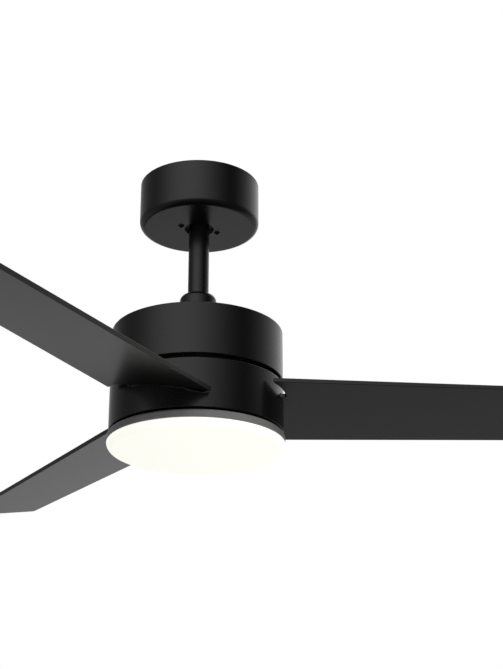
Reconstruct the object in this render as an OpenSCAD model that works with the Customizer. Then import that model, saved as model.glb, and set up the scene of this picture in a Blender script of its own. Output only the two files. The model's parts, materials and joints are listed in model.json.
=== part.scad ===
// Ceiling fan with three blades and a round light under its hub.
// The origin is the middle of the ceiling face, +Z points up into the ceiling,
// and everything hangs below it. Lengths are millimetres, angles degrees.

/* [Canopy] */
// Outer radius of the canopy
canopy_r = 78.1; // [75:0.1:84]
// Height of the canopy, from the ceiling to its underside
canopy_h = 61.2; // [60:0.1:66]
// Radius of the hole for the rod in the canopy's underside
canopy_hole_r = 19; // [18:0.5:20]
// Distance between the two ceiling screws
ceiling_screw_gap = 84; // [80:1:88]

/* [Rod] */
// Outer radius of the downrod
rod_r = 13.4; // [12.5:0.1:13.5]
// Outer radius of the coupling cover
cover_r = 23.5; // [23:0.1:28]
// Height of the coupling cover
cover_h = 52; // [50:0.5:60]

/* [Housing] */
// Distance from the ceiling to the top of the upper housing
housing_drop = 209.3; // [200:0.1:260]
// Outer radius of the upper housing
housing_r = 108.5; // [104:0.1:112]
// Height of the upper housing
housing_h = 66.2; // [65:0.1:70]
// Width of the groove between the upper housing and the hub shell
groove = 5.5; // [4:0.1:7]
// Outer radius of the hub shell
hub_r = 109; // [106:0.1:112]
// Height of the hub shell
hub_h = 62.5; // [60:0.1:70]

/* [Blades] */
// Distance from the fan's axis to a blade's tip
blade_tip_r = 609.8; // [450:0.1:660]
// Pitch of the blades
blade_pitch = 11.2; // [8:0.1:13]
// Thickness of a blade
blade_t = 5.6; // [5:0.1:6.5]
// Half chord on the raised side, carried on to the fan's axis
chord_raised = 77.2; // [70:0.1:78]
// Half chord on the lowered side, carried on to the fan's axis
chord_lowered = 76.0; // [70:0.1:78]
// Taper of the raised side, per millimetre of radius
taper_raised = 0.039; // [0.02:0.0001:0.05]
// Taper of the lowered side, per millimetre of radius
taper_lowered = 0.022; // [0.02:0.0001:0.05]
// Radius of the corners at the tip
tip_corner_r = 5; // [2:0.5:12]

/* [Light] */
// Outer radius of the light ring and the diffuser
light_r = 110.8; // [110:0.1:114]
// Height of the light ring
light_ring_h = 10.6; // [10.6:0.1:14]
// Gap between the turning hub shell and the light ring
light_gap = 2.5; // [2:0.1:4]
// Radius of the diffuser's rounded edge
diffuser_edge_r = 8.7; // [6:0.1:10]
// Extra depth of the diffuser at its middle
diffuser_crown = 3.4; // [2:0.1:6]

/* [Hidden] */
$fn = 96;

// Heights of the main faces
canopy_floor = -canopy_h;
housing_top = -housing_drop;
housing_bottom = housing_top - housing_h;
hub_top = housing_bottom - groove;
hub_bottom = hub_top - hub_h;
ring_top = hub_bottom - light_gap;
ring_bottom = ring_top - light_ring_h;

// Walls
canopy_wall = 1.6;
housing_wall = 2;
hub_wall = 2;

// Clearances: turning or sliding fit, still fit, and free gap
fit = 0.1;
snug = 0.05;
free = 0.3;

// Ball and socket
ball_r = 25;
socket_t = 3;
socket_plate_t = 3;
ball_to_plate = 16;
ball_z = canopy_floor + canopy_wall + socket_plate_t + ball_to_plate;
socket_hole_r = 19.5;
plate_t = 3;
plate_x = 104;
plate_y = 34;
leg_x = 31;
leg_y = 28;
leg_t = 3;
slot_r = 2.75;
slot_l = 14;
tab_w = 5;
tab_reach = 3.5;
canopy_screw_r = 25.5;
canopy_screw_az = 22;

// Receiver, standing on the canopy's floor
receiver = [76, 24, 22];
receiver_at = [0, 46, canopy_floor + canopy_wall];
receiver_wall = 1.5;

// Rod and coupler
rod_wall = 2.5;
rod_top = ball_z + 19.5;
rod_bottom = housing_top + 22.7;
pin_r = 3;
ball_pin_z = ball_z;
clevis_z = rod_bottom + 11;
coupler_r = 18.5;
coupler_top = rod_bottom + 24;
coupler_bottom = housing_top + 2;
coupler_web = 2;

// Shaft and bearings
shaft_r = 10;
shaft_bore_r = 7;
shaft_top = rod_bottom - coupler_web - 0.5;
shaft_bottom = ring_bottom + 0.6;
bearing_r = 21;
bearing_w = 12;
bearing_race = 3;
bearing_ball_r = 3;
bearing_ball_count = 9;
bearing_mid_r = (shaft_r + bearing_r) / 2;
mount_plate_t = 5;
upper_bearing_z = housing_top - 15.3 - bearing_w;
lower_bearing_z = hub_top + 2.5;
housing_screw_r = 36;

// Motor
stator_r = 66.5;
stator_z = hub_top + 17;
stator_h = 18;
tooth_count = 12;
tooth_w = 9;
tooth_l = 34;
tooth_mid_r = 46;
tip_r = 61.5;
coil_t = 3.5;
rotor_r = 74;
rotor_wall = 3;
rotor_top_z = housing_top - 20.3;
rotor_split_z = hub_top + 25;
rotor_plate_t = 4;
rotor_screw_r = 77;
rotor_screw_count = 6;
boss_step = 0.3;
bearing_seat_r = 25;
bearing_lip_r = 17;

// Blade frame: the underside of every blade passes through this height on the axis
blade_count = 3;
blade_z = hub_top - 31.5;
blade_root_r = 54;
pad_t = 0.8;
arm_t = 3.5;
arm_flange_t = 4;
arm_bolt_r = 52;
arm_bolt_az = 20;
arm_out_r = 96;
blade_holes = [[70, -30], [70, 30], [90, 0]];
slot_below = 1.1;
slot_above = 1.1;

// Blade neck: how far it reaches to its raised and lowered sides, and the radius of the shoulders,
// which stand clear of the hub shell; the hub shell's slot is longer than the neck at the lowered side
neck_raised = 36;
neck_lowered = 45;
shoulder_r = 117;
slot_raised = 38;
slot_lowered = 66;

// Light
light_wall = 4.8;
ring_flange_t = 2.5;
pan_t = 2;
pan_top = ring_top - ring_flange_t;
pan_bottom = pan_top - pan_t;
pan_r = light_r - 5.3;
ring_screw_r = 99;
led_board_r = 94;
led_board_t = 1.5;
diffuser_t = 2.4;
diffuser_top = ring_bottom - 0.2;
lug_arc = 8;
lug_out = 2;
lug_h = 1.5;
lug_top = pan_bottom - 1.9;
twist = 20;

function blade_az(i) = (i - 1) * 360 / blade_count;

// Points along an arc, from angle a0 to a1
function arc(cx, cy, r, a0, a1, n = 10) =
    [for (i = [0 : n]) let (a = a0 + (a1 - a0) * i / n) [cx + r * cos(a), cy + r * sin(a)]];

// Solid ring between two radii
module ring(r_out, r_in, z0, h) {
    translate([0, 0, z0]) difference() {
        cylinder(r = r_out, h = h);
        translate([0, 0, -1]) cylinder(r = r_in, h = h + 2);
    }
}

// Children copied round the axis
module around(count, start = 0) {
    for (i = [0 : count - 1]) rotate([0, 0, start + i * 360 / count]) children();
}

// Box centred on X and Y, standing on z0
module block(x, y, z0, h) {
    translate([-x / 2, -y / 2, z0]) cube([x, y, h]);
}

// Cylinder along X, from x0 to x1
module x_rod(r, x0, x1) {
    translate([x0, 0, 0]) rotate([0, 90, 0]) cylinder(r = r, h = x1 - x0);
}

// Children moved into the pitched frame of blade i
module blade_frame(i) {
    rotate([0, 0, blade_az(i)]) translate([0, 0, blade_z]) rotate([-blade_pitch, 0, 0]) children();
}

// Screw with a cylindrical head; its head's seat is at z = 0 and its shank goes up
module pan_screw(shank_r, shank_l, head_r, head_h) {
    difference() {
        union() {
            translate([0, 0, -head_h / 4]) cylinder(r = shank_r, h = shank_l + head_h / 4);
            translate([0, 0, -head_h]) cylinder(r = head_r, h = head_h);
        }
        translate([0, 0, -head_h - 1]) block(head_r * 1.2, 1, 0, 1 + head_h / 2);
        translate([0, 0, -head_h - 1]) block(1, head_r * 1.2, 0, 1 + head_h / 2);
    }
}

// ---- Fixed to the ceiling ----

module ceiling_bracket() {
    color("silver") difference() {
        union() {
            difference() {
                union() {
                    block(plate_x, plate_y, -plate_t, plate_t);
                    for (side = [-1, 1]) translate([side * leg_x, 0, 0])
                        block(leg_t, leg_y, ball_z - ball_to_plate - socket_plate_t,
                              ball_to_plate + socket_plate_t - ball_z - plate_t / 2);
                    translate([0, 0, ball_z - ball_to_plate - socket_plate_t])
                        cylinder(r = leg_x + leg_t / 2, h = socket_plate_t);
                    intersection() {
                        translate([0, 0, ball_z]) sphere(r = ball_r + fit + socket_t);
                        block(90, 90, ball_z - ball_to_plate - 0.01, 12);
                    }
                }
                translate([0, 0, ball_z]) sphere(r = ball_r + fit);
                translate([0, 0, ball_z - 30]) cylinder(r = socket_hole_r, h = 20);
                // side opening through which the rod is hung
                translate([-(rod_r + 1.1), -60, ball_z - 30]) cube([2 * rod_r + 2.2, 60, 28]);
            }
            // tab that keeps the ball from turning
            intersection() {
                difference() {
                    translate([0, 0, ball_z]) sphere(r = ball_r + 1);
                    translate([0, 0, ball_z]) sphere(r = ball_r - tab_reach);
                }
                translate([-tab_w / 2, 0, ball_z - 13]) cube([tab_w, 40, 7]);
            }
        }
        // slots for the ceiling screws
        for (side = [-1, 1]) translate([side * ceiling_screw_gap / 2, 0, 0]) {
            block(slot_l - 2 * slot_r, 2 * slot_r, -plate_t - 1, plate_t + 2);
            for (end = [-1, 1]) translate([end * (slot_l / 2 - slot_r), 0, -plate_t - 1])
                cylinder(r = slot_r, h = plate_t + 2);
        }
        for (turn = [0, 180]) rotate([0, 0, canopy_screw_az + turn])
            translate([canopy_screw_r, 0, canopy_floor]) cylinder(r = 2.05, h = 6);
        translate([15, 10, -plate_t - 1]) cylinder(r = 2.05, h = plate_t + 0.5);
    }
}

module canopy() {
    edge_r = 8;
    color([0.06, 0.06, 0.06]) difference() {
        rotate_extrude() polygon(concat(
            [[canopy_r, 0]],
            arc(canopy_r - edge_r, canopy_floor + edge_r, edge_r, 0, -90),
            [[canopy_hole_r, canopy_floor], [canopy_hole_r, canopy_floor + canopy_wall]],
            arc(canopy_r - edge_r, canopy_floor + edge_r, edge_r - canopy_wall, -90, 0),
            [[canopy_r - canopy_wall, 0]]));
        for (turn = [0, 180]) rotate([0, 0, canopy_screw_az + turn])
            translate([canopy_screw_r, 0, canopy_floor - 1]) cylinder(r = 2.4, h = 4);
    }
}

module canopy_screws() {
    head_h = 2.6;
    head_r = 4.6;
    dome_r = (head_r * head_r + head_h * head_h) / (2 * head_h);
    color([0.08, 0.08, 0.08])
        for (turn = [0, 180]) rotate([0, 0, canopy_screw_az + turn])
            translate([canopy_screw_r, 0, canopy_floor]) difference() {
                union() {
                    cylinder(r = 2, h = 5);
                    intersection() {
                        translate([0, 0, dome_r - head_h]) sphere(r = dome_r);
                        translate([0, 0, -head_h - 1]) cylinder(r = head_r + 1, h = head_h + 1);
                    }
                }
                block(5, 1, -head_h - 1, 2.2);
                block(1, 5, -head_h - 1, 2.2);
            }
}

module receiver_case() {
    color([0.15, 0.15, 0.16]) translate(receiver_at) difference() {
        block(receiver[0], receiver[1], 0, receiver[2]);
        block(receiver[0] - 2 * receiver_wall, receiver[1] - 2 * receiver_wall,
              receiver_wall, receiver[2] - 2 * receiver_wall);
    }
}

module receiver_board() {
    color("darkgreen") translate(receiver_at) union() {
        block(receiver[0] - 8, receiver[1] - 6, 4, 1.6);
        for (x = [-24, -6, 12, 26]) translate([x, 0, 0]) block(9, 8, 5, 9);
    }
}

module terminal_block() {
    color("ivory") translate([-55, 0, canopy_floor + canopy_wall]) difference() {
        block(20, 24, 0, 12);
        for (y = [-8, 0, 8]) translate([0, y, 5]) x_rod(2, -11, 11);
        for (y = [-8, 0, 8]) translate([0, y, 7]) cylinder(r = 1.8, h = 6);
    }
}

module ground_screw() {
    color("seagreen") translate([15, 10, -plate_t]) pan_screw(2, 2.3, 4, 3);
}

// ---- Hangs from the ball ----

module hanger_ball() {
    color([0.3, 0.3, 0.32]) difference() {
        intersection() {
            translate([0, 0, ball_z]) sphere(r = ball_r);
            block(60, 60, ball_z - ball_to_plate + 0.5, 27.5);
        }
        translate([0, 0, ball_z - 30]) cylinder(r = rod_r + snug, h = 60);
        translate([0, 0, ball_pin_z]) x_rod(pin_r + snug, -30, 30);
        // groove for the bracket's tab
        difference() {
            translate([-tab_w / 2 - 0.6, 0, ball_z - 25]) cube([tab_w + 1.2, 40, 50]);
            translate([0, 0, ball_z]) sphere(r = ball_r - tab_reach - 0.8);
        }
    }
}

module ball_pin() {
    color("silver") translate([0, 0, ball_pin_z]) x_rod(pin_r, -23, 23);
}

module downrod() {
    color([0.06, 0.06, 0.06]) difference() {
        ring(rod_r, rod_r - rod_wall, rod_bottom, rod_top - rod_bottom);
        translate([0, 0, ball_pin_z]) x_rod(pin_r + snug, -20, 20);
        translate([0, 0, clevis_z]) x_rod(pin_r + snug, -20, 20);
    }
}

module coupler() {
    color([0.3, 0.3, 0.32]) difference() {
        translate([0, 0, coupler_bottom]) cylinder(r = coupler_r, h = coupler_top - coupler_bottom);
        translate([0, 0, rod_bottom]) cylinder(r = rod_r + snug, h = 40);
        translate([0, 0, coupler_bottom - 1]) cylinder(r = shaft_bore_r, h = 60);
        translate([0, 0, coupler_bottom - 1])
            cylinder(r = shaft_r + snug, h = rod_bottom - coupler_web - coupler_bottom + 1);
        translate([0, 0, clevis_z]) x_rod(pin_r + snug, -30, 30);
        for (turn = [90, 270]) rotate([0, 0, turn]) translate([0, 0, coupler_top - 6])
            x_rod(2.5 + snug, rod_r, coupler_r + 1);
    }
}

module clevis_pin() {
    color("silver") translate([0, 0, clevis_z]) difference() {
        union() {
            x_rod(pin_r, -coupler_r - 2.3, coupler_r + 0.1);
            x_rod(4.5, coupler_r + 0.1, coupler_r + 2);
        }
        translate([-coupler_r - 1.1, 0, 0]) rotate([90, 0, 0]) translate([0, 0, -10])
            cylinder(r = 0.85, h = 20);
    }
}

module cotter_pin() {
    loop_r = 1.3;
    wire_r = 0.6;
    color("silver") translate([-coupler_r - 1.1, 0, clevis_z]) union() {
        translate([0, 4, 0]) rotate([90, 0, 0]) cylinder(r = 0.8, h = 9);
        translate([0, 4 + loop_r, 0]) rotate([0, 90, 0])
            rotate_extrude() translate([loop_r, 0]) circle(r = wire_r, $fn = 24);
    }
}

module coupler_set_screws() {
    color("silver") for (turn = [90, 270]) rotate([0, 0, turn])
        translate([0, 0, coupler_top - 6]) difference() {
            x_rod(2.5, rod_r + 0.02, coupler_r - 0.1);
            translate([coupler_r - 2.5, 0, 0]) rotate([0, 90, 0]) cylinder(r = 1.4, h = 4, $fn = 6);
        }
}

module motor_shaft() {
    color("silver") difference() {
        union() {
            translate([0, 0, shaft_bottom]) cylinder(r = shaft_r, h = shaft_top - shaft_bottom);
            translate([0, 0, pan_top]) cylinder(r = 14, h = 3.5);
        }
        translate([0, 0, shaft_bottom - 1]) cylinder(r = shaft_bore_r, h = shaft_top - shaft_bottom + 2);
    }
}

module motor_mount_plate() {
    color("gainsboro") difference() {
        union() {
            translate([0, 0, housing_top - housing_wall - mount_plate_t])
                cylinder(r = 50, h = mount_plate_t);
            translate([0, 0, upper_bearing_z + bearing_w])
                cylinder(r = 13, h = housing_top - housing_wall - 1 - upper_bearing_z - bearing_w);
        }
        translate([0, 0, housing_top - 40]) cylinder(r = shaft_r + snug, h = 60);
        around(4, 45) translate([housing_screw_r, 0, housing_top - 12]) cylinder(r = 2.5 + snug, h = 20);
    }
}

module upper_housing() {
    edge_r = 3;
    skirt = housing_r - housing_wall;
    color([0.06, 0.06, 0.06]) difference() {
        rotate_extrude() polygon(concat(
            [[16, housing_top]],
            arc(housing_r - edge_r, housing_top - edge_r, edge_r, 90, 0, 6),
            [[housing_r, housing_bottom], [skirt, housing_bottom]],
            arc(skirt - 1, housing_top - housing_wall - 1, 1, 0, 90, 4),
            [[16, housing_top - housing_wall]]));
        around(4, 45) translate([housing_screw_r, 0, housing_top - 5]) cylinder(r = 2.8, h = 10);
    }
}

module housing_screws() {
    color([0.08, 0.08, 0.08]) around(4, 45)
        translate([housing_screw_r, 0, housing_top]) mirror([0, 0, 1]) pan_screw(2.5, 6.5, 4.5, 2.5);
}

module stator_core() {
    hub_part_r = 34;
    color("dimgray") difference() {
        union() {
            translate([0, 0, stator_z]) cylinder(r = hub_part_r, h = stator_h);
            around(tooth_count) translate([tooth_mid_r, 0, 0])
                block(tooth_l, tooth_w, stator_z, stator_h);
            around(tooth_count, -11) translate([0, 0, stator_z])
                rotate_extrude(angle = 22) translate([tip_r, 0]) square([stator_r - tip_r, stator_h]);
        }
        translate([0, 0, stator_z - 1]) cylinder(r = shaft_r + snug, h = stator_h + 2);
    }
}

module stator_windings() {
    coil_l = 24;
    slack = 0.2;
    color([0.72, 0.35, 0.12]) around(tooth_count) translate([tooth_mid_r + 2.5, 0, 0]) difference() {
        block(coil_l, tooth_w + 2 * coil_t, stator_z - coil_t, stator_h + 2 * coil_t);
        block(coil_l + 2, tooth_w + 2 * slack, stator_z - slack, stator_h + 2 * slack);
    }
}

module sensor_board() {
    board_z = stator_z + stator_h + coil_t + 1;
    color("darkgreen") difference() {
        union() {
            ring(60, 28, board_z, 1.5);
            around(3) translate([44, 0, 0]) block(8, 8, board_z + 1.4, 2);
            around(3, 40) translate([52, 0, 0]) block(4, 3, board_z - 1, 1.1);
        }
        around(3, 80) translate([50, 0, board_z - 1]) cylinder(r = 1.6, h = 4);
    }
}

// Profile of a bearing race: a ring with a round groove for the balls
module race(r_out, r_in, z0) {
    difference() {
        ring(r_out, r_in, z0, bearing_w);
        translate([0, 0, z0 + bearing_w / 2]) rotate_extrude()
            translate([bearing_mid_r, 0]) circle(r = bearing_ball_r + fit);
    }
}

module bearing_inner_rings() {
    color("gainsboro") for (z = [upper_bearing_z, lower_bearing_z])
        race(shaft_r + bearing_race, shaft_r + snug, z);
}

module light_pan() {
    color("gainsboro") difference() {
        translate([0, 0, pan_bottom]) cylinder(r = pan_r, h = pan_t);
        translate([0, 0, pan_bottom - 1]) cylinder(r = shaft_r + snug, h = pan_t + 2);
        around(3, 30) translate([ring_screw_r, 0, pan_bottom - 1]) cylinder(r = 1.9, h = pan_t + 2);
        around(4, 45) translate([21, 0, pan_bottom - 1]) cylinder(r = 2.5, h = pan_t + 2);
    }
}

module shaft_nut() {
    color("silver") translate([0, 0, pan_bottom - 5]) difference() {
        cylinder(r = 15.5, h = 5, $fn = 6);
        translate([0, 0, -1]) cylinder(r = shaft_r + snug, h = 7);
    }
}

// Rolled edge band. Each of the three lug passages is a level groove with an entry at its far end
module light_ring() {
    inner = light_r - light_wall;
    edge_r = 1.5;
    color([0.3, 0.3, 0.31]) difference() {
        rotate_extrude() polygon(concat(
            [[inner, ring_bottom], [light_r - 0.5, ring_bottom]],
            [[light_r, ring_bottom + 0.5]],
            arc(light_r - edge_r, ring_top - edge_r, edge_r, 0, 90, 5),
            [[led_board_r + 1, ring_top], [led_board_r + 1, pan_top], [inner, pan_top]]));
        around(3, 30) translate([ring_screw_r, 0, pan_top - 1]) cylinder(r = 1.5 + snug, h = 3);
        around(3) rotate([0, 0, -1]) translate([0, 0, lug_top - lug_h - 0.4])
            rotate_extrude(angle = lug_arc + twist + 3)
                translate([inner - 1, 0]) square([lug_out + 1.6, lug_h + 0.8]);
        around(3) rotate([0, 0, twist - 1]) translate([0, 0, ring_bottom - 1])
            rotate_extrude(angle = lug_arc + 2)
                translate([inner - 1, 0]) square([lug_out + 1.6, lug_top - ring_bottom + 1.4]);
    }
}

module light_ring_screws() {
    color("silver") around(3, 30) translate([ring_screw_r, 0, pan_bottom]) pan_screw(1.5, 3.9, 3.2, 1.5);
}

module led_board() {
    color("white") difference() {
        ring(led_board_r, 26, pan_bottom - led_board_t, led_board_t);
        around(3) translate([34, 0, pan_bottom - 5]) cylinder(r = 1.6, h = 10);
    }
}

module led_chips() {
    rings = [[40, 8], [60, 12], [80, 18]];
    color([1, 0.9, 0.5]) for (row = rings) around(row[1], 10) translate([row[0], 0, 0])
        block(3.5, 2.8, pan_bottom - led_board_t - 0.9, 0.9);
}

module led_driver() {
    color([0.85, 0.85, 0.82]) translate([56, 0, pan_top]) difference() {
        block(60, 38, 0, 12);
        for (y = [-12, 12]) translate([0, y, 6]) x_rod(1.5, -31, -26);
    }
}

// Two wires run on each side of the pins that cross the rod
module lead_wires() {
    wire_r = 1.1;
    wire_bottom = shaft_bottom - 1.2;
    color("firebrick") for (x = [-1.4, 1.4]) for (y = [-4.6, 4.6])
        translate([x, y, wire_bottom]) cylinder(r = wire_r, h = rod_top + 4 - wire_bottom);
}

module rod_connector() {
    color("ivory") block(14, 13, rod_top + 4, 9);
}

module light_connector() {
    color("ivory") block(12, 13, shaft_bottom - 4.4, 3.2);
}

// ---- Turns about the shaft ----

// Screw bosses of the rotor covers, or the holes through them
module rotor_bosses(r, z0, z1) {
    around(rotor_screw_count, 15) translate([rotor_screw_r, 0, z0]) cylinder(r = r, h = z1 - z0);
}

// The bosses stand a little back from the joint, so that the covers' rims meet first
module rotor_top_cover() {
    seat_low = upper_bearing_z - 2;
    seat_top = upper_bearing_z + bearing_w - 0.5;
    color("gainsboro") difference() {
        union() {
            translate([0, 0, rotor_top_z - rotor_plate_t]) cylinder(r = rotor_r, h = rotor_plate_t);
            ring(rotor_r, rotor_r - rotor_wall, rotor_split_z, rotor_top_z - rotor_split_z - 1);
            translate([0, 0, seat_low]) cylinder(r = bearing_seat_r, h = seat_top - seat_low);
            rotor_bosses(4, rotor_split_z + boss_step, rotor_top_z);
        }
        translate([0, 0, upper_bearing_z]) cylinder(r = bearing_r + snug, h = 20);
        translate([0, 0, seat_low - 1]) cylinder(r = bearing_lip_r, h = 20);
        rotor_bosses(2.1, rotor_split_z - 1, rotor_top_z + 1);
    }
}

module rotor_bottom_cover() {
    seat_top = lower_bearing_z + bearing_w;
    color("gainsboro") difference() {
        union() {
            translate([0, 0, hub_top]) cylinder(r = rotor_r, h = rotor_plate_t);
            ring(rotor_r, rotor_r - rotor_wall, hub_top + 1, rotor_split_z - hub_top - 1);
            translate([0, 0, hub_top]) cylinder(r = bearing_seat_r, h = seat_top - hub_top);
            rotor_bosses(4, hub_top + boss_step, rotor_split_z - boss_step);
        }
        translate([0, 0, lower_bearing_z]) cylinder(r = bearing_r + snug, h = 20);
        translate([0, 0, hub_top - 1]) cylinder(r = bearing_lip_r, h = 20);
        rotor_bosses(2.1, rotor_split_z - 12, rotor_split_z + 2);
        around(blade_count) for (side = [-1, 1]) rotate([0, 0, side * arm_bolt_az])
            translate([arm_bolt_r, 0, hub_top - 1]) cylinder(r = 2.5 + snug, h = 20);
    }
}

module rotor_screws() {
    color("silver") around(rotor_screw_count, 15) translate([rotor_screw_r, 0, rotor_top_z])
        mirror([0, 0, 1]) pan_screw(2, rotor_top_z - rotor_split_z + 10, 3.6, 2.4);
}

module rotor_magnets() {
    color([0.25, 0.25, 0.28]) around(tooth_count, -13) translate([0, 0, stator_z - 3])
        rotate_extrude(angle = 26) translate([stator_r + 1, 0])
            square([rotor_r - rotor_wall - snug - stator_r - 1, stator_h + 6]);
}

module bearing_outer_rings() {
    color("gainsboro") for (z = [upper_bearing_z, lower_bearing_z])
        race(bearing_r, bearing_r - bearing_race, z);
}

module bearing_balls() {
    color("silver") for (z = [upper_bearing_z, lower_bearing_z])
        around(bearing_ball_count) translate([bearing_mid_r, 0, z + bearing_w / 2])
            sphere(r = bearing_ball_r);
}

// Slot for blade i's neck: room above, below and beside it, with round ends
module blade_slot(i) {
    low = -slot_below;
    high = blade_t + slot_above;
    half = (high - low) / 2;
    ends = [half - slot_raised, slot_lowered - half];
    blade_frame(i) translate([0, 0, (low + high) / 2]) {
        translate([80, ends[0], -half]) cube([50, ends[1] - ends[0], 2 * half]);
        for (y = ends) translate([0, y, 0]) x_rod(half, 80, 130);
    }
}

module hub_shell() {
    edge_r = 1.5;
    flange_r = 34;
    color([0.06, 0.06, 0.06]) difference() {
        rotate_extrude() polygon(concat(
            [[hub_r - hub_wall, hub_bottom], [hub_r - 0.6, hub_bottom], [hub_r, hub_bottom + 0.6]],
            arc(hub_r - edge_r, hub_top - edge_r, edge_r, 0, 90, 4),
            [[flange_r, hub_top], [flange_r, hub_top - hub_wall], [hub_r - hub_wall, hub_top - hub_wall]]));
        for (i = [1 : blade_count]) blade_slot(i);
        around(blade_count) for (side = [-1, 1]) rotate([0, 0, side * arm_bolt_az])
            translate([arm_bolt_r, 0, hub_top - 5]) cylinder(r = 2.7, h = 10);
    }
}

module blade_arm(i) {
    low = blade_t + pad_t;
    flange_z = hub_top - hub_wall - arm_flange_t;
    color([0.12, 0.12, 0.12]) difference() {
        union() {
            blade_frame(i) translate([58, -34, low]) cube([arm_out_r - 58, 68, arm_t]);
            rotate([0, 0, blade_az(i)]) translate([52, 0, 0]) block(24, 60, flange_z, arm_flange_t);
            rotate([0, 0, blade_az(i)]) difference() {
                translate([59.5, 0, 0]) block(9, 40, blade_z - 10, flange_z - blade_z + 11);
                translate([0, 0, blade_z]) rotate([-blade_pitch, 0, 0])
                    translate([40, -60, low - 60]) cube([50, 120, 60]);
            }
        }
        rotate([0, 0, blade_az(i)]) for (side = [-1, 1]) rotate([0, 0, side * arm_bolt_az])
            translate([arm_bolt_r, 0, flange_z - 1]) cylinder(r = 2.7, h = 20);
        blade_frame(i) for (p = blade_holes) translate([p[0], p[1], 0]) cylinder(r = 2.5 + snug, h = 20);
    }
}

module blade_arm_1() { blade_arm(1); }
module blade_arm_2() { blade_arm(2); }
module blade_arm_3() { blade_arm(3); }

module arm_screws() {
    color("silver") around(blade_count) for (side = [-1, 1]) rotate([0, 0, side * arm_bolt_az])
        translate([arm_bolt_r, 0, hub_top - hub_wall - arm_flange_t]) pan_screw(2.5, 9.6, 4.2, 3);
}

module blade_pads() {
    color([0.2, 0.2, 0.2]) for (i = [1 : blade_count]) blade_frame(i) difference() {
        translate([60, -33, blade_t]) cube([arm_out_r - 62, 66, pad_t]);
        for (p = blade_holes) translate([p[0], p[1], 0]) cylinder(r = 2.7, h = 20);
    }
}

// Blade plan: a neck through the hub shell, round shoulders and a tapered plank with two round tip corners
module blade(i) {
    tip_raised = chord_raised - taper_raised * blade_tip_r;
    tip_lowered = chord_lowered - taper_lowered * blade_tip_r;
    c = tip_corner_r;
    lean_raised = atan(taper_raised);
    lean_lowered = atan(taper_lowered);
    // angles at which the shoulders start at the neck and end at the plank's edges
    raised_start = asin(neck_raised / shoulder_r);
    lowered_start = asin(neck_lowered / shoulder_r);
    raised_end = asin(chord_raised * cos(lean_raised) / shoulder_r) - lean_raised;
    lowered_end = asin(chord_lowered * cos(lean_lowered) / shoulder_r) - lean_lowered;
    color([0.07, 0.07, 0.07]) blade_frame(i) difference() {
        linear_extrude(blade_t) polygon(concat(
            [[blade_root_r, neck_lowered], [blade_root_r, -neck_raised]],
            arc(0, 0, shoulder_r, -raised_start, -raised_end, 6),
            arc(blade_tip_r - c, -tip_raised - taper_raised * c + c, c, -90 + lean_raised, 0, 8),
            arc(blade_tip_r - c, tip_lowered + taper_lowered * c - c, c, 0, 90 - lean_lowered, 8),
            arc(0, 0, shoulder_r, lowered_end, lowered_start, 6)));
        for (p = blade_holes) translate([p[0], p[1], -1]) cylinder(r = 2.7, h = blade_t + 2);
    }
}

module blade_1() { blade(1); }
module blade_2() { blade(2); }
module blade_3() { blade(3); }

module blade_screws() {
    shank_l = blade_t + pad_t + arm_t - 0.1;
    color("silver") for (i = [1 : blade_count]) blade_frame(i)
        for (p = blade_holes) translate([p[0], p[1], 0]) pan_screw(2.5, shank_l, 4.5, 2.2);
}

// ---- Slides on the rod ----

module coupling_cover() {
    edge_r = 7;
    wall = 1.2;
    top = housing_top + 0.2 + cover_h;
    hole_r = rod_r + 1.6;
    color([0.06, 0.06, 0.06]) rotate_extrude() polygon(concat(
        [[cover_r, housing_top + 0.2]],
        arc(cover_r - edge_r, top - edge_r, edge_r, 0, 90),
        [[hole_r, top], [hole_r, top - wall]],
        arc(cover_r - edge_r, top - edge_r, edge_r - wall, 90, 0),
        [[cover_r - wall, housing_top + 0.2]]));
}

module cover_grommet() {
    top = housing_top + 0.2 + cover_h;
    color([0.1, 0.1, 0.1]) union() {
        ring(rod_r + 1.55, rod_r + free, top - 3.2, 3.4);
        ring(rod_r + 3.2, rod_r + free, top - 3.2, 1.9);
    }
}

// ---- Twists in the light ring ----

module diffuser() {
    collar_r = light_r - light_wall - 0.6;
    rim_r = light_r - diffuser_edge_r;
    crown_r = (rim_r * rim_r + diffuser_crown * diffuser_crown) / (2 * diffuser_crown);
    edge_z = diffuser_top - diffuser_edge_r;
    crown_z = edge_z + crown_r - diffuser_crown;
    lean = asin(rim_r / crown_r);
    collar_top = pan_bottom - 1.2;
    color([1, 1, 0.96]) union() {
        rotate_extrude() polygon(concat(
            [[collar_r - diffuser_t, collar_top], [collar_r, collar_top], [collar_r, diffuser_top]],
            arc(rim_r, diffuser_top, diffuser_edge_r, 0, -90, 9),
            arc(0, crown_z, crown_r, -90 + lean, -90, 8),
            arc(0, crown_z, crown_r - diffuser_t, -90, -90 + lean, 8),
            [[rim_r, edge_z + diffuser_t], [collar_r - diffuser_t, diffuser_top - 2.2]]));
        around(3) translate([0, 0, lug_top - lug_h]) rotate_extrude(angle = lug_arc)
            translate([collar_r - 1, 0]) square([lug_out + 1.2, lug_h]);
    }
}

ceiling_bracket();
canopy();
canopy_screws();
receiver_case();
receiver_board();
terminal_block();
ground_screw();
hanger_ball();
ball_pin();
downrod();
coupler();
clevis_pin();
cotter_pin();
coupler_set_screws();
motor_shaft();
motor_mount_plate();
upper_housing();
housing_screws();
stator_core();
stator_windings();
sensor_board();
bearing_inner_rings();
light_pan();
shaft_nut();
light_ring();
light_ring_screws();
led_board();
led_chips();
led_driver();
lead_wires();
rod_connector();
light_connector();
rotor_top_cover();
rotor_bottom_cover();
rotor_screws();
rotor_magnets();
bearing_outer_rings();
bearing_balls();
hub_shell();
blade_arm_1();
blade_arm_2();
blade_arm_3();
arm_screws();
blade_pads();
blade_1();
blade_2();
blade_3();
blade_screws();
coupling_cover();
cover_grommet();
diffuser();
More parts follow.
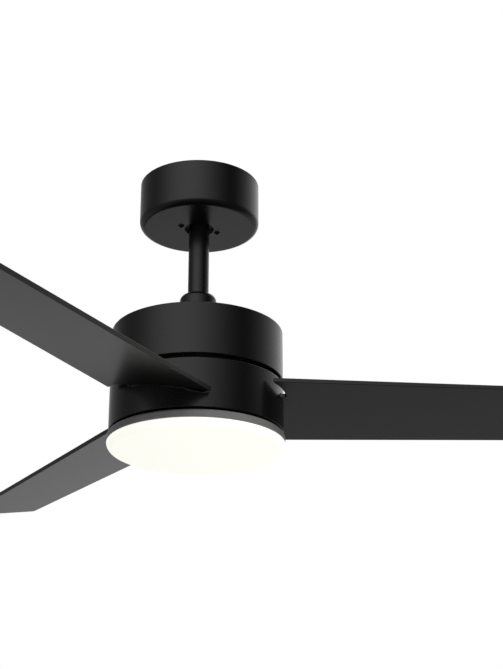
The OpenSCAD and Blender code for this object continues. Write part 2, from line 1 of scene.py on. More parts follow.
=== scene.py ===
"""A black ceiling fan with three blades and a round light, under soft studio light."""

import json
import math

import bpy
from mathutils import Matrix, Vector
from mathutils.geometry import delaunay_2d_cdt


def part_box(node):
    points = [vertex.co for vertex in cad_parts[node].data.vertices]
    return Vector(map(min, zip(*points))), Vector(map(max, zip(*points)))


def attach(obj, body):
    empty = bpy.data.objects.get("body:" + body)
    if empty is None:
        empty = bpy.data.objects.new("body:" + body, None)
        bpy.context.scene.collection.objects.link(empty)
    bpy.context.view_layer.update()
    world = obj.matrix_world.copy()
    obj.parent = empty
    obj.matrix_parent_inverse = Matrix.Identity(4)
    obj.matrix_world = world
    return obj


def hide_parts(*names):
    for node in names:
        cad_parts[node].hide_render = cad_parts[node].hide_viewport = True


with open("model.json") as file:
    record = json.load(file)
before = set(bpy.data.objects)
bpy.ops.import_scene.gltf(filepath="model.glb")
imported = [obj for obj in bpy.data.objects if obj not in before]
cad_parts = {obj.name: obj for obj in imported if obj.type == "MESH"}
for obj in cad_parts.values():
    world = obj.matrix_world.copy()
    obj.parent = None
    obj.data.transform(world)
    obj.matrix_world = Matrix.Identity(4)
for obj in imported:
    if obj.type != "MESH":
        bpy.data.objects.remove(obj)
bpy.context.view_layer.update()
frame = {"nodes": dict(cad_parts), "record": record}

# One millimetre in the scene's metres
MM = 0.001

# Faces round a full turn
TURN_STEPS = 144

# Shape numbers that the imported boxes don't give, in millimetres and degrees; a taper is an edge's slope
CANOPY_WALL = 1.6
CANOPY_HOLE_R = 19.0
HOUSING_WALL = 2.0
HOUSING_HOLE_R = 16.0
HUB_WALL = 2.0
HUB_FLANGE_R = 34.0
ROD_WALL = 2.5
COVER_WALL = 1.2
COVER_HOLE_R = 15.0
RING_INNER_R = 106.0
RING_FLANGE_R = 95.0
RING_FLANGE_T = 2.5
BLADE_PITCH = 11.2
BLADE_T = 5.6
CHORD_RAISED = 77.2
CHORD_LOWERED = 76.0
TAPER_RAISED = 0.039
TAPER_LOWERED = 0.022
BLADE_TO_HUB_TOP = 31.5
NECK_RAISED = 36.0
NECK_LOWERED = 45.0
SHOULDER_R = 117.0
SLOT_BELOW = 1.1
SLOT_ABOVE = 1.1
SLOT_RAISED = 38.0
SLOT_LOWERED = 66.0
SLOT_RIM = 0.8

# Azimuths of the three blades, and of the diffuser's three lugs
THIRDS = (0.0, 120.0, 240.0)


# ---- Camera, light and floor ----

def make_camera():
    """Looks up at the fan from below."""
    up_tilt = 21.62
    right_turn = 2.382
    data = bpy.data.cameras.new("camera")
    data.lens = 74.98
    camera = bpy.data.objects.new("camera", data)
    camera.location = (0.0, -1.6563, -0.8658)
    camera.rotation_euler = (math.radians(90 + up_tilt), 0.0, math.radians(-right_turn))
    bpy.context.collection.objects.link(camera)
    bpy.context.scene.camera = camera


def math_node(tree, operation, *values):
    """Math node on sockets and plain numbers."""
    node = tree.nodes.new("ShaderNodeMath")
    node.operation = operation
    for socket, value in zip(node.inputs, values):
        if isinstance(value, (int, float)):
            socket.default_value = value
        else:
            tree.links.new(value, socket)
    return node.outputs[0]


def ramp_node(tree, factor, stops):
    """Grey ramp through (position, level) stops."""
    node = tree.nodes.new("ShaderNodeValToRGB")
    ramp = node.color_ramp
    while len(ramp.elements) < len(stops):
        ramp.elements.new(0.5)
    # all places first, since moving a stop past another one reorders them
    for element, (position, _) in zip(ramp.elements, stops):
        element.position = position
    for element, (_, level) in zip(ramp.elements, stops):
        element.color = (level, level, level, 1.0)
    tree.links.new(factor, node.inputs[0])
    return node.outputs[0]


def mix_node(tree, factor, first, second):
    """Goes from the first value to the second as the factor goes from 0 to 1."""
    node = tree.nodes.new("ShaderNodeMix")
    node.data_type = "FLOAT"
    for socket, value in zip(node.inputs[:1] + node.inputs[2:4], (factor, first, second)):
        tree.links.new(value, socket)
    return node.outputs[0]


def make_world():
    """White studio: a broad soft light at the front left, a bright wall behind, a darker lower half."""
    # brightness by azimuth; 0 degrees is towards the camera, +90 is +X
    around = [
        (-180, 1.10), (-166, 0.66), (-152, 0.32), (-138, 0.25), (-126, 0.19), (-112, 0.14),
        (-98, 0.15), (-88, 0.20), (-78, 0.33), (-69, 0.47), (-60, 0.67), (-51, 0.84),
        (-42, 0.96), (-32, 1.05), (-20, 1.09), (-8, 1.03), (0, 0.94), (8, 0.80), (16, 0.65),
        (25, 0.47), (35, 0.29), (45, 0.15), (56, 0.045), (67, 0.035), (77, 0.09), (87, 0.20),
        (98, 0.34), (110, 0.53), (124, 0.76), (144, 1.00), (162, 1.10), (180, 1.10),
    ]
    # the same, for the lower half
    low_around = [
        (-180, 0.39), (-165, 0.33), (-130, 0.26), (-100, 0.20), (-60, 0.16), (-25, 0.10), (5, 0.07),
        (72, 0.06), (105, 0.12), (130, 0.36), (165, 0.38), (180, 0.39),
    ]
    # the ramps hold levels up to 1, so they hold shares of this level
    full_level = 1.2

    world = bpy.data.worlds.new("studio")
    world.use_nodes = True
    tree = world.node_tree
    tree.nodes.clear()
    coord = tree.nodes.new("ShaderNodeTexCoord")
    axes = tree.nodes.new("ShaderNodeSeparateXYZ")
    tree.links.new(coord.outputs["Generated"], axes.inputs[0])
    x, y, z = axes.outputs
    azimuth = math_node(tree, "ARCTAN2", x, math_node(tree, "MULTIPLY", y, -1.0))
    # azimuth and height as ramp places, from 0 to 1
    turn = math_node(tree, "MULTIPLY_ADD", azimuth, 0.5 / math.pi, 0.5)
    upper = ramp_node(tree, turn, [((a + 180) / 360, level / full_level) for a, level in around])
    low_level = ramp_node(tree, turn, [((a + 180) / 360, level / full_level) for a, level in low_around])
    height = math_node(tree, "MULTIPLY_ADD", z, 0.5, 0.5)
    fade = ramp_node(tree, height, [(0.0, 0.12), (0.08, 0.3), (0.17, 1.0), (1.0, 1.0)])
    lower = math_node(tree, "MULTIPLY", low_level, fade)
    to_upper = ramp_node(tree, height, [
        (0.28, 0.0), (0.36, 0.03), (0.46, 0.31), (0.55, 0.87), (0.60, 1.0)])
    level = math_node(tree, "MULTIPLY", mix_node(tree, to_upper, lower, upper), full_level)

    # the light comes from the levels above; the empty room itself is plain white
    light = tree.nodes.new("ShaderNodeBackground")
    light.inputs["Color"].default_value = (1.0, 1.0, 1.0, 1.0)
    tree.links.new(level, light.inputs["Strength"])
    backdrop = tree.nodes.new("ShaderNodeBackground")
    backdrop.inputs["Color"].default_value = (1.0, 1.0, 1.0, 1.0)
    seen = tree.nodes.new("ShaderNodeLightPath")
    pick = tree.nodes.new("ShaderNodeMixShader")
    tree.links.new(seen.outputs["Is Camera Ray"], pick.inputs[0])
    tree.links.new(light.outputs[0], pick.inputs[1])
    tree.links.new(backdrop.outputs[0], pick.inputs[2])
    output = tree.nodes.new("ShaderNodeOutputWorld")
    tree.links.new(pick.outputs[0], output.inputs["Surface"])
    bpy.context.scene.world = world
    bpy.context.scene.view_settings.view_transform = "Standard"


def make_low_fill():
    """Soft low light at the front right. It shows on the grey trim; the black gloss doesn't mirror it."""
    data = bpy.data.lights.new("low_fill", "AREA")
    data.shape = "DISK"
    data.size = 0.7
    data.energy = 5.0
    lamp = bpy.data.objects.new("low_fill", data)
    lamp.location = (0.70, -0.97, -0.75)
    middle = Vector((0.0, 0.0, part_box("light_ring")[0].z))
    lamp.rotation_euler = (middle - lamp.location).to_track_quat("-Z", "Y").to_euler()
    lamp.visible_glossy = False
    lamp.visible_camera = False
    bpy.context.collection.objects.link(lamp)


def make_floor():
    """Plain pale floor far below, that only the camera sees: the world's lower half lights the fan."""
    half = 40.0
    height = -5.6
    corners = [(x * half, y * half, height) for x, y in ((-1, -1), (1, -1), (1, 1), (-1, 1))]
    mesh = bpy.data.meshes.new("floor")
    mesh.from_pydata(corners, [], [(0, 1, 2, 3)])
    floor = bpy.data.objects.new("floor", mesh)
    floor.visible_glossy = False
    floor.visible_diffuse = False
    mesh.materials.append(finish("floor_pale", (0.93, 0.93, 0.92), 0.8, grain=0.5, colour_shift=0.02))
    bpy.context.collection.objects.link(floor)


# ---- Materials ----

# the noise stays almost wholly between these two values
NOISE_LOW = 0.3
NOISE_HIGH = 0.7


def noise_node(tree, scale, detail, stretch):
    """Noise in the object's own space, in features per metre."""
    coord = tree.nodes.new("ShaderNodeTexCoord")
    mapping = tree.nodes.new("ShaderNodeMapping")
    mapping.inputs["Scale"].default_value = stretch
    noise = tree.nodes.new("ShaderNodeTexNoise")
    noise.inputs["Scale"].default_value = scale
    noise.inputs["Detail"].default_value = detail
    tree.links.new(coord.outputs["Object"], mapping.inputs["Vector"])
    tree.links.new(mapping.outputs[0], noise.inputs["Vector"])
    return noise.outputs["Fac"]


def range_node(tree, value, low, high):
    """Spreads noise over the values from low to high."""
    node = tree.nodes.new("ShaderNodeMapRange")
    node.inputs["From Min"].default_value = NOISE_LOW
    node.inputs["From Max"].default_value = NOISE_HIGH
    node.inputs["To Min"].default_value = low
    node.inputs["To Max"].default_value = high
    tree.links.new(value, node.inputs["Value"])
    return node.outputs[0]


def colour_node(tree, factor, first, second):
    """Spreads noise over the colours from first to second."""
    node = tree.nodes.new("ShaderNodeValToRGB")
    node.color_ramp.elements[0].position = NOISE_LOW
    node.color_ramp.elements[1].position = NOISE_HIGH
    node.color_ramp.elements[0].color = (*first, 1.0)
    node.color_ramp.elements[1].color = (*second, 1.0)
    tree.links.new(factor, node.inputs[0])
    return node.outputs[0]


def bump_node(tree, height, depth):
    """Bump of that depth in metres."""
    node = tree.nodes.new("ShaderNodeBump")
    node.inputs["Distance"].default_value = depth
    node.inputs["Strength"].default_value = 1.0
    tree.links.new(height, node.inputs["Height"])
    return node.outputs[0]


def finish(name, colour, rough, metallic=0.0, grain=400.0, stretch=(1.0, 1.0, 1.0), depth=0.00002,
           colour_shift=0.08, rough_shift=0.05, second=None):
    """Painted, moulded or metal surface: fine grain in bump and roughness, slow drift in colour.

    grain is in features per metre and depth in metres; second replaces the drift's lighter colour.
    """
    drift_to_grain = 12
    material = bpy.data.materials.new(name)
    material.use_nodes = True
    tree = material.node_tree
    shader = tree.nodes["Principled BSDF"]
    shader.inputs["Metallic"].default_value = metallic
    darker = tuple(c * (1 - colour_shift) for c in colour)
    lighter = second or tuple(min(1.0, c * (1 + colour_shift)) for c in colour)
    drift = noise_node(tree, grain / drift_to_grain, 2.0, stretch)
    fine = noise_node(tree, grain, 4.0, stretch)
    roughness = range_node(tree, fine, rough - rough_shift, rough + rough_shift)
    tree.links.new(colour_node(tree, drift, darker, lighter), shader.inputs["Base Color"])
    tree.links.new(roughness, shader.inputs["Roughness"])
    tree.links.new(bump_node(tree, fine, depth), shader.inputs["Normal"])
    return material


def opal_finish():
    """Opal acrylic, lit from behind."""
    material = finish("lit_opal_acrylic", (0.86, 0.86, 0.82), 0.42, grain=500.0, depth=0.000006,
                      colour_shift=0.01)
    shader = material.node_tree.nodes["Principled BSDF"]
    shader.inputs["Emission Color"].default_value = (1.0, 0.997, 0.91, 1.0)
    shader.inputs["Emission Strength"].default_value = 0.78
    return material


def make_finishes():
    """One material for each material slot of the record."""
    return {
        "black_metal": finish("satin_black_paint", (0.0045, 0.0045, 0.0047), 0.27, grain=900.0,
                              depth=0.000002, rough_shift=0.015),
        "blade_black": finish("satin_black_blade", (0.008, 0.0078, 0.0075), 0.30, grain=260.0,
                              stretch=(1.0, 6.0, 6.0), depth=0.000004, rough_shift=0.02),
        "ring_grey": finish("frosted_grey_trim", (0.24, 0.24, 0.243), 0.42, grain=700.0,
                            depth=0.000006),
        "opal": opal_finish(),
        "steel": finish("zinc_plated_steel", (0.55, 0.55, 0.57), 0.34, 1.0, 700.0, depth=0.00001),
        "dark_steel": finish("oxide_steel", (0.15, 0.15, 0.16), 0.42, 1.0, 600.0, depth=0.00001),
        "cast_alloy": finish("cast_alloy", (0.60, 0.60, 0.62), 0.48, 1.0, 450.0, depth=0.00004),
        "black_plastic": finish("moulded_black_plastic", (0.03, 0.03, 0.03), 0.5, grain=1100.0),
        "pale_plastic": finish("moulded_pale_plastic", (0.74, 0.72, 0.66), 0.45, grain=900.0,
                               depth=0.00001),
        "board_green": finish("green_circuit_board", (0.02, 0.13, 0.05), 0.35, grain=500.0,
                              second=(0.03, 0.2, 0.08)),
        "board_white": finish("white_circuit_board", (0.8, 0.8, 0.8), 0.4, grain=500.0,
                              colour_shift=0.03),
        "led_yellow": finish("led_phosphor", (0.85, 0.68, 0.18), 0.3, grain=900.0),
        "core_steel": finish("laminated_core", (0.3, 0.3, 0.31), 0.45, 1.0, 300.0,
                             stretch=(1.0, 1.0, 8.0), depth=0.0001),
        "copper_wire": finish("enamelled_copper", (0.50, 0.19, 0.07), 0.32, 0.9, 350.0,
                              stretch=(3.0, 3.0, 1.0), depth=0.0002),
        "magnet": finish("sintered_ferrite", (0.05, 0.05, 0.055), 0.6, grain=800.0, depth=0.00003),
        "rubber": finish("soft_rubber", (0.02, 0.02, 0.02), 0.75, grain=900.0, depth=0.00003),
        "ground_green": finish("green_dyed_steel", (0.03, 0.28, 0.09), 0.35, 0.8, 700.0, depth=0.00001),
        "wire_red": finish("wire_insulation", (0.4, 0.03, 0.03), 0.4, grain=600.0),
    }


# ---- Mesh building ----

class Skin:
    """Faces with a normal at each corner, in millimetres, joined where their corners meet."""

    def __init__(self):
        self.points = []
        self.number = {}
        self.faces = []
        self.normals = []

    def corner(self, point):
        key = tuple(round(value, 3) for value in point)
        if key not in self.number:
            self.number[key] = len(self.points)
            self.points.append(tuple(value * MM for value in point))
        return self.number[key]

    def face(self, points, normals):
        """Adds a face without the corners that fall together, or nothing if too few are left."""
        ids = [self.corner(point) for point in points]
        kept = [k for k in range(len(ids)) if ids[k] != ids[k - 1]]
        if len(kept) > 2:
            self.faces.append([ids[k] for k in kept])
            self.normals.extend(normals[k] for k in kept)

    def piece(self, name, material, pose=Matrix()):
        mesh = bpy.data.meshes.new(name)
        mesh.from_pydata([pose @ Vector(point) for point in self.points], [], self.faces)
        mesh.shade_smooth()
        turned = pose.to_3x3()
        normals = [(turned @ Vector(normal)).normalized() for normal in self.normals]
        mesh.normals_split_custom_set(normals)
        mesh.materials.append(material)
        made = bpy.data.objects.new(name, mesh)
        bpy.context.collection.objects.link(made)
        return made


def rounded(corners):
    """Closed anticlockwise outline from (x, y, rounding) corners, as (point, normal before, normal after).

    The rounding is the arc's radius.
    """
    outline = []
    for k, (x, y, radius) in enumerate(corners):
        here = Vector((x, y))
        into = (here - Vector(corners[k - 1][:2])).normalized()
        away = (Vector(corners[(k + 1) % len(corners)][:2]) - here).normalized()
        before = Vector((into.y, -into.x))
        after = Vector((away.y, -away.x))
        cross = into.x * away.y - into.y * away.x
        turn = math.atan2(cross, into.dot(away))
        if not radius:
            outline.append((here, before, after))
            continue
        side = math.copysign(1.0, cross)
        centre = here - into * radius * math.tan(abs(turn) / 2) - before * radius * side
        steps = max(4, min(16, math.ceil(radius * 2)))
        for i in range(steps + 1):
            normal = Matrix.Rotation(turn * i / steps, 2) @ before
            outline.append((centre + normal * radius * side, normal, normal))
    return outline


def spun(point, angle):
    """Point or normal (radius, height) turned to an angle round the axis."""
    return (point[0] * math.cos(angle), point[0] * math.sin(angle), point[1])


def sweep_side(skin, profile, k, one, two):
    """Face between two azimuths, on the side of a closed profile that ends at entry k."""
    a, _, normal_a = profile[k - 1]
    b, normal_b, _ = profile[k]
    skin.face([spun(a, one), spun(a, two), spun(b, two), spun(b, one)],
              [spun(normal_a, one), spun(normal_a, two), spun(normal_b, two), spun(normal_b, one)])


def turn_profile(skin, profile, leave_out=lambda a, b: False):
    """Sweeps a closed (radius, height) profile round the axis, except the sides that leave_out picks."""
    azimuths = [math.radians(s * 360 / TURN_STEPS) for s in range(TURN_STEPS + 1)]
    for k in range(len(profile)):
        if leave_out(profile[k - 1][0], profile[k][0]):
            continue
        for one, two in zip(azimuths, azimuths[1:]):
            sweep_side(skin, profile, k, one, two)


def turned_piece(name, material, corners):
    skin = Skin()
    turn_profile(skin, rounded(corners))
    return skin.piece(name, material)


def size_of(node):
    """(outer radius, low, high) of a CAD node, in millimetres."""
    low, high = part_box(node)
    return high.x / MM, low.z / MM, high.z / MM


def place(piece, body, node):
    """The piece rides on the body and stands in for the CAD node."""
    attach(piece, body)
    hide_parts(node)


# ---- Turned parts ----

def make_canopy(finishes):
    r, low, high = size_of("canopy")
    inner = r - CANOPY_WALL
    inner_low = low + CANOPY_WALL
    canopy = turned_piece("canopy_shell", finishes["black_metal"], [
        (CANOPY_HOLE_R, low, 0.6), (r, low, 8.0), (r, high, 0.6), (inner, high, 0.5),
        (inner, inner_low, 6.4), (CANOPY_HOLE_R, inner_low, 0.5)])
    place(canopy, "ceiling_mount", "canopy")


def make_downrod(finishes):
    r, low, high = size_of("downrod")
    inner = r - ROD_WALL
    rod = turned_piece("rod_tube", finishes["black_metal"], [
        (inner, low, 0.4), (r, low, 0.6), (r, high, 0.6), (inner, high, 0.4)])
    place(rod, "hanging_frame", "downrod")


def make_coupling_cover(finishes):
    r, low, high = size_of("coupling_cover")
    inner = r - COVER_WALL
    inner_high = high - COVER_WALL
    cover = turned_piece("rod_cover", finishes["black_metal"], [
        (inner, low, 0.4), (r, low, 0.6), (r, high, 8.0), (COVER_HOLE_R, high, 0.4),
        (COVER_HOLE_R, inner_high, 0.3), (inner, inner_high, 6.8)])
    place(cover, "sliding_cover", "coupling_cover")


def make_upper_housing(finishes):
    r, low, high = size_of("upper_housing")
    inner = r - HOUSING_WALL
    inner_high = high - HOUSING_WALL
    housing = turned_piece("motor_housing", finishes["black_metal"], [
        (inner, low, 0.5), (r, low, 0.8), (r, high, 2.0), (HOUSING_HOLE_R, high, 0.5),
        (HOUSING_HOLE_R, inner_high, 0.4), (inner, inner_high, 1.0)])
    place(housing, "hanging_frame", "upper_housing")


def make_light_ring(finishes):
    """Band with a flange at the top, and a groove inside for the diffuser's lugs."""
    r, low, high = size_of("light_ring")
    flange_low = high - RING_FLANGE_T
    groove_low = low + 2.3
    groove_high = low + 4.6
    groove_r = 108.6
    ring = turned_piece("light_trim", finishes["ring_grey"], [
        (RING_INNER_R, low, 0.4), (r, low, 1.4), (r, high, 4.0), (RING_FLANGE_R, high, 0.4),
        (RING_FLANGE_R, flange_low, 0.4), (RING_INNER_R, flange_low, 0.4),
        (RING_INNER_R, groove_high, 0.2), (groove_r, groove_high, 0.2),
        (groove_r, groove_low, 0.2), (RING_INNER_R, groove_low, 0.2)])
    place(ring, "hanging_frame", "light_ring")


# ---- Hub shell with its three blade slots ----

def blade_to_drum(y, z):
    """Crosswise and vertical place, from the blade's axis, of a point in the pitched blade frame."""
    pitch = math.radians(BLADE_PITCH)
    return y * math.cos(pitch) + z * math.sin(pitch), z * math.cos(pitch) - y * math.sin(pitch)


def slot_loop(radius, blade_height):
    """Anticlockwise loop of (arc length, height) round a blade's slot on a drum of that radius."""
    end_steps = 18
    side_steps = 40
    half = (BLADE_T + SLOT_BELOW + SLOT_ABOVE) / 2
    middle = (BLADE_T + SLOT_ABOVE - SLOT_BELOW) / 2
    turns = [math.radians(-90 + 180 * i / end_steps) for i in range(end_steps + 1)]
    lowered_end = [(SLOT_LOWERED - half + half * math.cos(a), middle + half * math.sin(a)) for a in turns]
    raised_end = [(half - SLOT_RAISED - half * math.cos(a), middle - half * math.sin(a)) for a in turns]
    corners = [Vector(corner) for corner in lowered_end + raised_end]
    loop = []
    for k, start in enumerate(corners):
        end = corners[(k + 1) % len(corners)]
        # only the slot's two long sides are longer than its height
        steps = side_steps if (end - start).length > 2 * half else 1
        for i in range(steps):
            across, up = blade_to_drum(*start.lerp(end, i / steps))
            loop.append(Vector((radius * math.asin(across / radius), blade_height + up)))
    return loop


def loop_normals(loop):
    """Normals pointing out of an anticlockwise loop."""
    out = []
    for k, here in enumerate(loop):
        before = here - loop[k - 1]
        after = loop[(k + 1) % len(loop)] - here
        # the shorter side tells the direction of the curve better
        along = (before.normalized() * after.length + after.normalized() * before.length).normalized()
        out.append(Vector((along.y, -along.x)))
    return out


def inside(point, loop):
    """Whether a point lies in a loop, by the sides that a line to the right of it crosses."""
    hit = False
    for k in range(len(loop)):
        a, b = loop[k - 1], loop[k]
        if (a.y > point.y) != (b.y > point.y):
            if point.x < a.x + (b.x - a.x) * (point.y - a.y) / (b.y - a.y):
                hit = not hit
    return hit


def chain(edges):
    """Orders directed edges into one closed list of points."""
    follow = dict(edges)
    start = edges[0][0]
    order = [start]
    while len(order) < len(edges):
        order.append(follow[order[-1]])
    if follow[order[-1]] != start:
        raise ValueError("the edges don't make one closed loop")
    return order


def spot_in(face):
    """A point inside an anticlockwise face, which may be C-shaped when it has more than three corners."""
    just_inside = 0.001
    if len(face) == 3:
        return (face[0] + face[1] + face[2]) / 3
    sides = [(face[k - 1], face[k]) for k in range(len(face))]
    start, end = max(sides, key=lambda side: (side[1] - side[0]).length)
    along = (end - start).normalized()
    return (start + end) / 2 + Vector((-along.y, along.x)) * just_inside


def on_drum(point, radius, flat_radius, azimuth):
    """Puts a flat (arc length, height) point on the drum."""
    angle = azimuth + point[0] / flat_radius
    return (radius * math.cos(angle), radius * math.sin(angle), point[1])


def grid_border(columns, heights):
    """Anticlockwise border of a flat grid."""
    border = [Vector((s, heights[0])) for s in columns]
    border += [Vector((columns[-1], z)) for z in heights[1:-1]]
    border += [Vector((s, heights[-1])) for s in reversed(columns)]
    border += [Vector((columns[0], z)) for z in reversed(heights[1:-1])]
    return border


def drum_panel(skin, hole, flat_radius, radius, low, high, azimuth, outward):
    """Third of a drum's wall with a hole in it. Returns the hole's final loop in flat coordinates.

    outward is 1 for a wall seen from outside, cut into columns, and -1 for one seen from inside,
    cut into triangles.
    """
    # what the triangulation returns: the cells between the given edges, or triangles only
    whole_cells, triangles = 3, 1
    same_place = 1e-3
    join_distance = 1e-5
    clear_of_hole = 2.0
    rows = 1 if outward > 0 else 12
    count = TURN_STEPS // 3
    width = flat_radius * 2 * math.pi / 3
    columns = [-width / 2 + width * k / count for k in range(count + 1)]
    heights = [low + (high - low) * k / rows for k in range(rows + 1)]
    points = []
    edges = []

    def add(line, closed):
        first = len(points)
        points.extend(line)
        edges.extend((first + k, first + k + 1) for k in range(len(line) - 1))
        if closed:
            edges.append((first + len(line) - 1, first))

    add(grid_border(columns, heights), True)
    add(hole, True)
    if outward > 0:
        for s in columns[1:-1]:
            add([Vector((s, low)), Vector((s, high))], False)
    for s in columns[1:-1]:
        for z in heights[1:-1]:
            spot = Vector((s, z))
            if not inside(spot, hole) and min((spot - q).length for q in hole) > clear_of_hole:
                points.append(spot)
    kind = whole_cells if outward > 0 else triangles
    flat, _, faces = delaunay_2d_cdt(points, edges, [], kind, join_distance)[:3]

    # directed sides of the faces that are kept, in order
    sides = {}
    for face in faces:
        area = sum(flat[face[k - 1]].cross(flat[face[k]]) for k in range(len(face)))
        ring = list(face) if area > 0 else list(reversed(face))
        if inside(spot_in([flat[k] for k in ring]), hole):
            continue
        sides.update(((ring[k - 1], ring[k]), True) for k in range(len(ring)))
        if outward < 0:
            ring.reverse()
        angles = [azimuth + flat[k].x / flat_radius for k in ring]
        skin.face([on_drum(flat[k], radius, flat_radius, azimuth) for k in ring],
                  [(outward * math.cos(a), outward * math.sin(a), 0.0) for a in angles])

    def on_border(k):
        x, y = flat[k]
        return (min(abs(x - columns[0]), abs(x - columns[-1])) < same_place
                or min(abs(y - low), abs(y - high)) < same_place)

    open_sides = [(a, b) for a, b in sides if (b, a) not in sides]
    loop = chain([(b, a) for a, b in open_sides if not (on_border(a) and on_border(b))])
    return [Vector(flat[k]) for k in loop]


def slot_edge(skin, rim, azimuth, radius):
    """Rounded edge and straight wall of a slot, from its rim on the drum's outside through the wall."""
    steps = 4
    turns = [math.radians(90 * i / steps) for i in range(steps + 1)]
    levels = [(SLOT_RIM * math.sin(a), SLOT_RIM * (1 - math.cos(a)), a) for a in turns]
    levels.append((SLOT_RIM, HUB_WALL, turns[-1]))
    out = loop_normals(rim)
    rings = []
    for inset, depth, a in levels:
        ring = []
        for p, n in zip(rim, out):
            spot = p - n * inset
            turn = Matrix.Rotation(azimuth + spot.x / radius, 3, "Z")
            facing = Vector((math.cos(a), -n.x * math.sin(a), -n.y * math.sin(a)))
            ring.append((on_drum(spot, radius - depth, radius, azimuth), tuple(turn @ facing)))
        rings.append(ring)
    for one, two in zip(rings, rings[1:]):
        for k in range(len(rim)):
            corners = [one[k - 1], one[k], two[k], two[k - 1]]
            skin.face([c[0] for c in corners], [c[1] for c in corners])


def make_hub_shell(finishes):
    r, low, high = size_of("hub_shell")
    inner = r - HUB_WALL
    inner_high = high - HUB_WALL
    profile = rounded([
        (inner, low, 0.4), (r, low, 0.7), (r, high, 1.6), (HUB_FLANGE_R, high, 0.5),
        (HUB_FLANGE_R, inner_high, 0.4), (inner, inner_high, 1.0)])
    shortest_wall = 20.0
    skin = Skin()

    def is_wall(a, b):
        return abs(a[0] - b[0]) < 1e-3 and abs(a[1] - b[1]) > shortest_wall

    turn_profile(skin, profile, is_wall)
    sides = [(profile[k - 1][0], profile[k][0]) for k in range(len(profile))]
    # lowest and highest point of each wall, by its radius
    walls = sorted((a[0], min(a[1], b[1]), max(a[1], b[1])) for a, b in sides if is_wall(a, b))
    (_, inner_from, inner_to), (_, outer_from, outer_to) = walls

    opening = slot_loop(r, high - BLADE_TO_HUB_TOP)
    wide = [p + n * SLOT_RIM for p, n in zip(opening, loop_normals(opening))]
    for azimuth in map(math.radians, THIRDS):
        rim = drum_panel(skin, wide, r, r, outer_from, outer_to, azimuth, 1)
        slot_edge(skin, rim, azimuth, r)
        mouth = [p - n * SLOT_RIM for p, n in zip(rim, loop_normals(rim))]
        drum_panel(skin, mouth, r, inner, inner_from, inner_to, azimuth, -1)
    shell = skin.piece("hub_drum", finishes["black_metal"])
    place(shell, "fan_rotor", "hub_shell")


# ---- Blades ----

def shoulder(chord, taper, neck):
    """Corners from the neck along the round shoulder to the plank's edge, on the +Y side."""
    neck_round, shoulder_round, edge_round = 3.0, 60.0, 1.5
    lean = math.atan(taper)
    start = math.asin(neck / SHOULDER_R)
    end = math.asin(chord * math.cos(lean) / SHOULDER_R) - lean
    middle = (start + end) / 2
    bulge = SHOULDER_R / math.cos((end - start) / 2)
    return [(SHOULDER_R * math.cos(start), neck, neck_round),
            (bulge * math.cos(middle), bulge * math.sin(middle), shoulder_round),
            (SHOULDER_R * math.cos(end), SHOULDER_R * math.sin(end), edge_round)]


def blade_outline():
    """Anticlockwise outline of a blade along +X, seen from above. Its raised side is at -Y."""
    low_corner, high_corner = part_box("blade_1")
    root, tip = low_corner.x / MM, high_corner.x / MM
    tip_round, root_round = 5.0, 1.0
    shoulder_up = shoulder(CHORD_RAISED, TAPER_RAISED, NECK_RAISED)
    raised_side = [(x, -y, bend) for x, y, bend in shoulder_up]
    tip_end = [(tip, TAPER_RAISED * tip - CHORD_RAISED, tip_round),
               (tip, CHORD_LOWERED - TAPER_LOWERED * tip, tip_round)]
    lowered_side = shoulder(CHORD_LOWERED, TAPER_LOWERED, NECK_LOWERED)[::-1]
    root_end = [(root, NECK_LOWERED, root_round), (root, -NECK_RAISED, root_round)]
    return rounded(raised_side + tip_end + lowered_side + root_end)


def make_blades(finishes):
    outline = blade_outline()
    edge_r = 0.6
    steps = 5
    # (inset, height, turn of the normal) up the edge: rounded bottom edge, straight side, rounded top edge
    turns = [math.radians(-90 + 90 * i / steps) for i in range(steps + 1)]
    levels = [(edge_r * (1 - math.cos(a)), edge_r + edge_r * math.sin(a), a) for a in turns]
    levels += [(inset, BLADE_T - z, -a) for inset, z, a in reversed(levels)]

    def at(point, normal, level):
        inset, z, a = level
        p = point - normal * inset
        return (p.x, p.y, z), (normal.x * math.cos(a), normal.y * math.cos(a), math.sin(a))

    skin = Skin()
    for one, two in zip(levels, levels[1:]):
        for k, (b, normal_b, _) in enumerate(outline):
            a, _, normal_a = outline[k - 1]
            corners = [at(a, normal_a, one), at(b, normal_b, one), at(b, normal_b, two), at(a, normal_a, two)]
            skin.face([c[0] for c in corners], [c[1] for c in corners])
    underside = [at(point, normal, levels[0])[0] for point, _, normal in reversed(outline)]
    top = [at(point, normal, levels[-1])[0] for point, _, normal in outline]
    skin.face(underside, [(0.0, 0.0, -1.0)] * len(underside))
    skin.face(top, [(0.0, 0.0, 1.0)] * len(top))

    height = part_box("hub_shell")[1].z - BLADE_TO_HUB_TOP * MM
    for number, azimuth in enumerate(THIRDS, 1):
        pitched = (Matrix.Rotation(math.radians(azimuth), 4, "Z")
                   @ Matrix.Translation((0.0, 0.0, height))
                   @ Matrix.Rotation(math.radians(-BLADE_PITCH), 4, "X"))
        blade = skin.piece(f"fan_blade_{number}", finishes["blade_black"], pitched)
        place(blade, "fan_rotor", f"blade_{number}")


# ---- Diffuser ----

def arc_profile(centre, radius, start, end, steps):
    """Points and normals of an arc; its angles go from straight down towards +radius."""
    turns = [start + (end - start) * i / steps for i in range(steps + 1)]
    normals = [Vector((math.sin(a), -math.cos(a))) for a in turns]
    return [(centre + normal * radius, normal) for normal in normals]


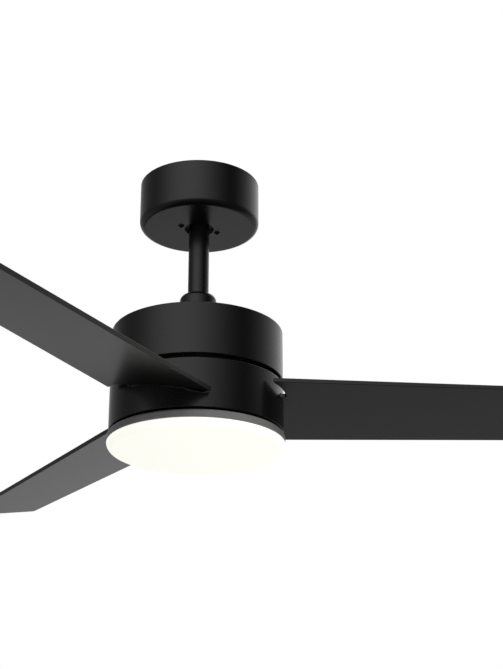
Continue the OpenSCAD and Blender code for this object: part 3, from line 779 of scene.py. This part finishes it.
def make_diffuser(finishes):
    """Shallow bowl with a rounded edge, and a collar with lugs that goes up into the light ring."""
    r, low, high = size_of("diffuser")
    ring_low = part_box("light_ring")[0].z / MM
    seam = ring_low - 0.2
    edge_r = 8.7
    thickness = 2.4
    collar = RING_INNER_R - 0.6
    collar_inner = collar - thickness
    rim = r - edge_r
    drop = seam - low
    # the bowl's arc touches the lowest point and runs into the edge's arc without a corner
    bowl_r = (rim * rim + drop * drop - edge_r * edge_r) / (2 * (drop - edge_r))
    bowl_middle = Vector((0.0, low + bowl_r))
    lean = math.atan2(rim, bowl_middle.y - seam)
    bowl_steps, edge_steps = 24, 14

    bowl = arc_profile(bowl_middle, bowl_r, 0.0, lean, bowl_steps)
    edge = arc_profile(Vector((rim, seam)), edge_r, lean, math.pi / 2, edge_steps)
    hollow = arc_profile(bowl_middle, bowl_r - thickness, lean, 0.0, bowl_steps)
    # the first and last corner only give the direction towards the edge and the hollow
    top = rounded([
        (r, seam - 4, 0.0), (r, seam, 0.9), (collar, seam, 0.3), (collar, high, 0.4),
        (collar_inner, high, 0.4), (collar_inner, seam - 2.2, 1.5), (rim - 2.0, seam - 8.0, 0.0)])[1:-1]
    below_top = seam - 1.0
    profile = [(p, n, n) for p, n in bowl + edge[1:] if p.y < below_top]
    profile += top
    profile += [(p, -n, -n) for p, n in hollow]
    skin = Skin()
    turn_profile(skin, profile)
    lug_inner, lug_outer = collar - 1.0, collar + 2.2
    lug_low, lug_high = ring_low + 2.7, ring_low + 4.2
    lug_length = 8.0
    for start in THIRDS:
        add_lug(skin, lug_inner, lug_outer, lug_low, lug_high, start, start + lug_length)
    diffuser = skin.piece("opal_diffuser", finishes["opal"])
    place(diffuser, "light_cover", "diffuser")


def add_lug(skin, inner, outer, low, high, start, end):
    """Short curved block on the diffuser's collar, from the start to the end azimuth in degrees."""
    outline = rounded([(inner, low, 0.0), (outer, low, 0.3), (outer, high, 0.3), (inner, high, 0.0)])
    steps = 6
    angles = [math.radians(start + (end - start) * i / steps) for i in range(steps + 1)]
    for k in range(len(outline)):
        for one, two in zip(angles, angles[1:]):
            sweep_side(skin, outline, k, one, two)
    for angle, side in ((angles[0], 1), (angles[-1], -1)):
        cap = [spun(entry[0], angle) for entry in (outline if side > 0 else reversed(outline))]
        across = (side * math.sin(angle), -side * math.cos(angle), 0.0)
        skin.face(cap, [across] * len(cap))


# ---- The scene ----

def dress_nodes(finishes):
    """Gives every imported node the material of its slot."""
    for part in frame["record"]["subparts"]:
        for slot in frame["nodes"][part["node"]].material_slots:
            slot.material = finishes[part["material_slot"]]


make_camera()
make_world()
make_low_fill()
make_floor()
finishes = make_finishes()
dress_nodes(finishes)
make_canopy(finishes)
make_downrod(finishes)
make_coupling_cover(finishes)
make_upper_housing(finishes)
make_light_ring(finishes)
make_hub_shell(finishes)
make_blades(finishes)
make_diffuser(finishes)
